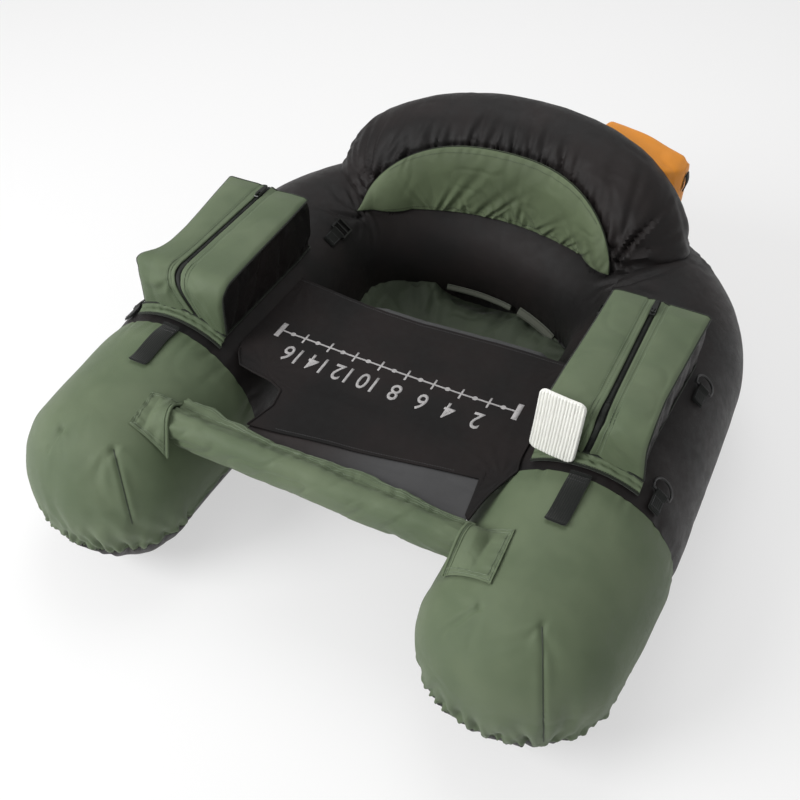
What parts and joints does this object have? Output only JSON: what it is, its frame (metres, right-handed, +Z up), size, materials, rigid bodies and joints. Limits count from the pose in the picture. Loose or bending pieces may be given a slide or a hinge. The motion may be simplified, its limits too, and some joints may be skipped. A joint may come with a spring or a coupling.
{
  "type": "float tube",
  "caption": "U-shaped inflatable float tube for one angler, with a backrest arch, sling seat, lap apron, stabilizer bar, zipped side pockets, rings and buckles.",
  "frame": {"origin": "on the floor, under the middle of the tube's overall length and width", "axes": "+X to the angler's left, which is the right side in front view; -Y towards the open front with the noses; +Z up"},
  "size_m": [1.094, 1.231, 0.4919],
  "materials": {
    "black_cover": "coated nylon, matt",
    "green_cover": "coated nylon, matt",
    "orange_cover": "coated nylon, matt",
    "grey_cloth": "plain cloth",
    "black_webbing": "woven webbing",
    "grey_webbing": "woven webbing",
    "white_fleece": "ribbed fleece",
    "black_plastic": "moulded, smooth",
    "zip_metal": "black lacquer",
    "bar_metal": "drawn tube"
  },
  "bodies": {
    "float_tube": {"apron": "black_cover", "apron_hem": "grey_webbing", "apron_wedge": "grey_cloth", "back_panel": "green_cover", "backrest_cover": "black_cover", "bar_sleeve": "green_cover", "fly_patch": "white_fleece", "hull_cover": "black_cover", "seat_sling": "green_cover", "seat_webbing_left": "grey_webbing", "seat_webbing_right": "grey_webbing", "stabilizer_bar": "bar_metal", "stern_pouch": "orange_cover", "left_bar_pocket": "green_cover", "left_buckle_tab": "black_webbing", "left_front_ring_tab": "black_webbing", "left_nose_cover": "green_cover", "left_pocket_body": "black_cover", "left_pocket_inner_panel": "green_cover", "left_pocket_outer_panel": "green_cover", "left_pouch_tab": "black_webbing", "left_rear_ring_tab": "black_webbing", "left_zip_coil": "zip_metal", "left_zip_tape": "black_webbing", "right_bar_pocket": "green_cover", "right_buckle_tab": "black_webbing", "right_front_ring_tab": "black_webbing", "right_nose_cover": "green_cover", "right_pocket_body": "black_cover", "right_pocket_inner_panel": "green_cover", "right_pocket_outer_panel": "green_cover", "right_pouch_tab": "black_webbing", "right_rear_ring_tab": "black_webbing", "right_zip_coil": "zip_metal", "right_zip_tape": "black_webbing"},
    "left_slider": {"left_zip_slider": "zip_metal"},
    "left_pull": {"left_zip_pull": "zip_metal"},
    "right_slider": {"right_zip_slider": "zip_metal"},
    "right_pull": {"right_zip_pull": "zip_metal"},
    "left_rear_ring": {"left_rear_d_ring": "black_plastic"},
    "left_front_ring": {"left_front_d_ring": "black_plastic"},
    "right_rear_ring": {"right_rear_d_ring": "black_plastic"},
    "right_front_ring": {"right_front_d_ring": "black_plastic"},
    "left_buckle_frame": {"left_buckle": "black_plastic"},
    "right_buckle_frame": {"right_buckle": "black_plastic"},
    "left_strap": {"left_rod_strap": "black_webbing"},
    "right_strap": {"right_rod_strap": "black_webbing"}
  },
  "joints": [
    {"name": "left_zip_slide", "type": "slide", "parent": "float_tube", "child": "left_slider", "axis": [0, -1, 0], "range_m": [0, 0.229]},
    {"name": "right_zip_slide", "type": "slide", "parent": "float_tube", "child": "right_slider", "axis": [0, -1, 0], "range_m": [0, 0.229]},
    {"name": "left_pull_hinge", "type": "hinge", "parent": "left_slider", "child": "left_pull", "pos_m": [-0.3775, 0.026, 0.42262], "axis": [1, 0, 0], "range_deg": [0, 120]},
    {"name": "right_pull_hinge", "type": "hinge", "parent": "right_slider", "child": "right_pull", "pos_m": [0.3775, 0.026, 0.42262], "axis": [1, 0, 0], "range_deg": [0, 120]},
    {"name": "left_rear_ring_hinge", "type": "hinge", "parent": "float_tube", "child": "left_rear_ring", "pos_m": [-0.48809, 0.027, 0.29524], "axis": [0.7818, 0, 0.6235], "range_deg": [0, 140]},
    {"name": "left_front_ring_hinge", "type": "hinge", "parent": "float_tube", "child": "left_front_ring", "pos_m": [-0.48809, -0.2255, 0.29524], "axis": [0.7818, 0, 0.6235], "range_deg": [0, 140]},
    {"name": "right_rear_ring_hinge", "type": "hinge", "parent": "float_tube", "child": "right_rear_ring", "pos_m": [0.48809, 0.027, 0.29524], "axis": [0.7818, 0, -0.6235], "range_deg": [0, 140]},
    {"name": "right_front_ring_hinge", "type": "hinge", "parent": "float_tube", "child": "right_front_ring", "pos_m": [0.48809, -0.2255, 0.29524], "axis": [0.7818, 0, -0.6235], "range_deg": [0, 140]},
    {"name": "left_buckle_hinge", "type": "hinge", "parent": "float_tube", "child": "left_buckle_frame", "pos_m": [-0.27774, 0.14204, 0.29545], "axis": [0.7818, 0, -0.6235], "range_deg": [0, 100]},
    {"name": "right_buckle_hinge", "type": "hinge", "parent": "float_tube", "child": "right_buckle_frame", "pos_m": [0.27774, 0.14204, 0.29545], "axis": [0.7818, 0, 0.6235], "range_deg": [0, 100]},
    {"name": "left_rod_strap_hinge", "type": "hinge", "parent": "float_tube", "child": "left_strap", "pos_m": [-0.3735, -0.2725, 0.3255], "axis": [-1, 0, 0], "range_deg": [0, 80]},
    {"name": "right_rod_strap_hinge", "type": "hinge", "parent": "float_tube", "child": "right_strap", "pos_m": [0.3735, -0.2725, 0.3255], "axis": [-1, 0, 0], "range_deg": [0, 80]}
  ]
}
